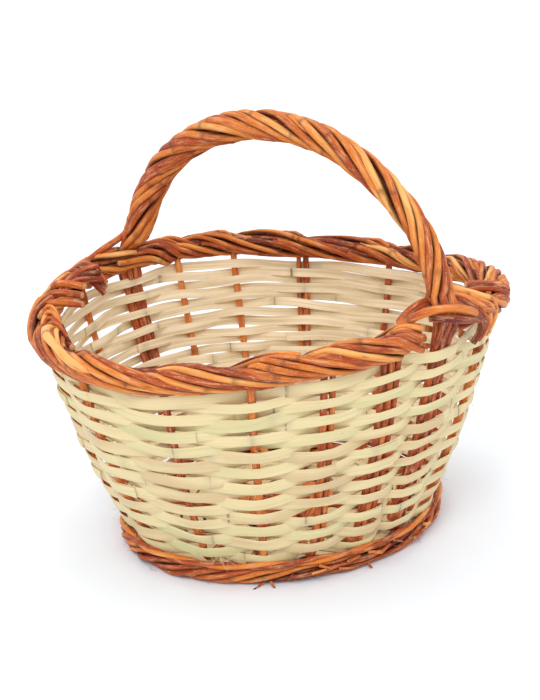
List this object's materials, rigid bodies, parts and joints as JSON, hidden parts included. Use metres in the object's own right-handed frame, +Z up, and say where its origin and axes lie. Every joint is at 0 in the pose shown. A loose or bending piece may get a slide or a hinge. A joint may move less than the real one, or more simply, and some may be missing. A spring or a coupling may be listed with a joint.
{
  "type": "foraging basket",
  "caption": "Round open basket of woven split cane over willow stakes, with a rolled willow border, a twisted foot ring and a fixed roped bow handle.",
  "frame": {"origin": "on the surface that the basket stands on, under the middle of the basket", "axes": "+Z up; +X runs across the handle, along the basket's slightly longer way; the handle's feet are at -Y and +Y"},
  "size_m": [0.4087, 0.402, 0.3542],
  "materials": {
    "willow": "brown willow rods in their bark, dry, satin where the bark is smooth",
    "cane": "peeled and split cane, pale straw, satin on the outer side"
  },
  "bodies": {
    "root": {"base_sticks": "willow", "base_weaver_1": "willow", "base_weaver_2": "willow", "cane_row_01": "cane", "cane_row_02": "cane", "cane_row_03": "cane", "cane_row_04": "cane", "cane_row_05": "cane", "cane_row_06": "cane", "cane_row_07": "cane", "cane_row_08": "cane", "cane_row_09": "cane", "cane_row_10": "cane", "cane_row_11": "cane", "cane_row_12": "cane", "cane_row_13": "cane", "cane_row_14": "cane", "cane_row_15": "cane", "cane_row_16": "cane", "cane_row_17": "cane", "cane_row_18": "cane", "cane_row_19": "cane", "cane_row_20": "cane", "cane_row_21": "cane", "cane_row_22": "cane", "foot_rod_1": "willow", "foot_rod_2": "willow", "foot_rod_3": "willow", "handle_bow": "willow", "handle_rod_1": "willow", "handle_rod_2": "willow", "handle_rod_3": "willow", "handle_rod_4": "willow", "handle_rod_5": "willow", "handle_rod_6": "willow", "stake_01": "willow", "stake_02": "willow", "stake_03": "willow", "stake_04": "willow", "stake_05": "willow", "stake_06": "willow", "stake_07": "willow", "stake_08": "willow", "stake_09": "willow", "stake_10": "willow", "stake_11": "willow", "stake_12": "willow", "stake_13": "willow", "stake_14": "willow", "stake_15": "willow", "stake_16": "willow", "stake_17": "willow", "stake_18": "willow", "upsett_rod": "willow"}
  },
  "joints": []
}
